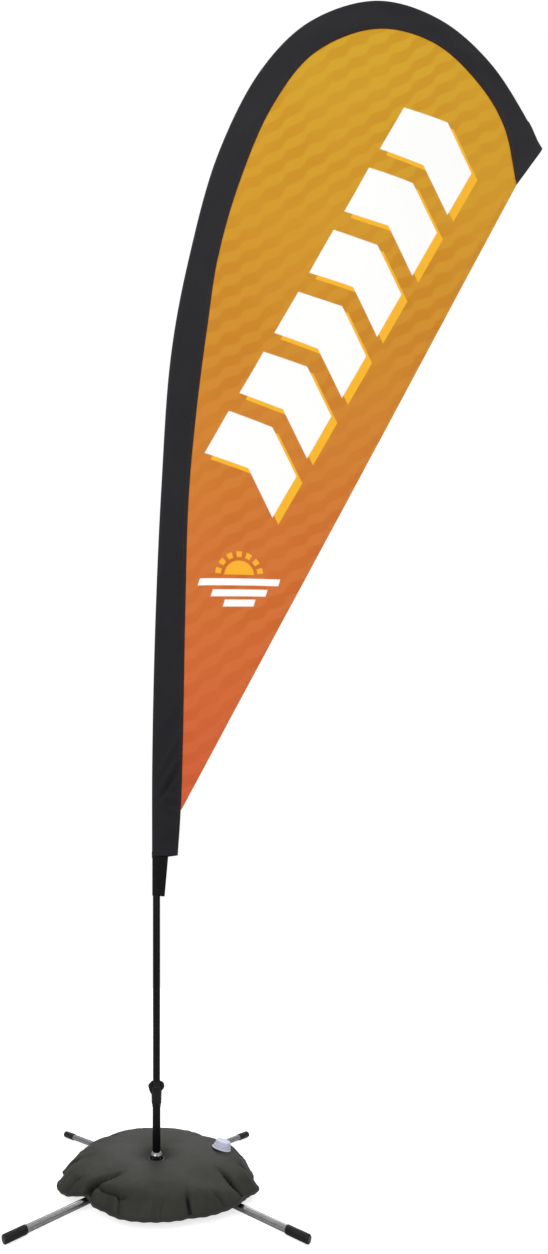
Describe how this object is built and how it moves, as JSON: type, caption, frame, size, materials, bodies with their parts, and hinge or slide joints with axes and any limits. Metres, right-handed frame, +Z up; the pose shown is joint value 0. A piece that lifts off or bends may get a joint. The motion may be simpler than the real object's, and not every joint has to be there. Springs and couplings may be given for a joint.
{
  "type": "teardrop flag",
  "caption": "Tall bowed pole with a printed teardrop flag, turning on a folding cross base held down by a round water weight bag.",
  "frame": {"origin": "on the floor under the pole, at the centre of the hub's floor pad", "axes": "+Z up along the pole, +X the way the flag spreads, legs along the diagonals of X and Y"},
  "size_m": [1.2436, 0.5778, 2.9097],
  "materials": {
    "rubber": "matt",
    "chrome": "polished",
    "black_plastic": "satin moulded",
    "steel": "satin",
    "nylon": "matt",
    "black_pole": "satin black",
    "fibreglass": "satin",
    "sleeve_cloth": "woven polyester",
    "printed_cloth": "printed knitted polyester",
    "bag_cloth": "coated cloth, matt",
    "valve_plastic": "translucent white moulded"
  },
  "bodies": {
    "base": {"floor_pad": "rubber", "lower_cross_bar": "chrome", "end_cap_back_right": "black_plastic", "end_cap_front_left": "black_plastic", "pivot_bolt": "steel", "pivot_washer": "nylon", "hub_boss": "chrome", "bearing_inner_race": "steel", "retaining_ring": "steel", "bearing_cage": "steel"},
    "upper_bar": {"upper_cross_bar": "chrome", "end_cap_front_right": "black_plastic", "end_cap_back_left": "black_plastic"},
    "rotor": {"spindle_rod": "chrome", "bearing_outer_race": "steel", "o_ring_1": "rubber", "o_ring_2": "rubber", "o_ring_3": "rubber"},
    "pole": {"foot_tube": "black_pole", "pole_collar": "black_plastic", "collar_screw": "steel", "lower_pole": "black_pole", "middle_pole": "fibreglass", "upper_pole": "fibreglass", "tip_pole": "fibreglass", "tip_ferrule": "steel", "pole_tip_cap": "rubber", "pole_sleeve": "sleeve_cloth", "tip_pocket": "sleeve_cloth", "flag_panel": "printed_cloth", "tension_strap": "sleeve_cloth"},
    "bag": {"water_bag": "bag_cloth", "rim_weld": "bag_cloth", "centre_grommet": "black_plastic", "valve_flange": "valve_plastic"},
    "seal": {"valve_seal": "rubber"},
    "cap": {"valve_cap": "valve_plastic"}
  },
  "joints": [
    {"name": "flag_spin", "type": "hinge", "parent": "base", "child": "rotor", "pos_m": [0, 0, 0.0543], "axis": [0, 0, 1], "continuous": true},
    {"name": "pole_lift", "type": "slide", "parent": "rotor", "child": "pole", "axis": [0, 0, 1], "range_m": [0, 0.12]},
    {"name": "base_fold", "type": "hinge", "parent": "base", "child": "upper_bar", "pos_m": [0, 0, 0.0259], "axis": [0, 0, 1], "range_deg": [0, 60]},
    {"name": "bag_lift", "type": "slide", "parent": "base", "child": "bag", "axis": [0, 0, 1], "range_m": [0, 0.09]},
    {"name": "cap_rise", "type": "slide", "parent": "bag", "child": "seal", "axis": [0.2228, 0.0313, 0.9744], "range_m": [0, 0.012]},
    {"name": "cap_turn", "type": "hinge", "parent": "seal", "child": "cap", "pos_m": [0.16537, 0.02324, 0.0634], "axis": [0.2228, 0.0313, 0.9744], "range_deg": [0, 1080]}
  ],
  "couplings": [
    {"joint": "cap_rise", "follows": "cap_turn", "m_per_rad": 0.0006366}
  ]
}
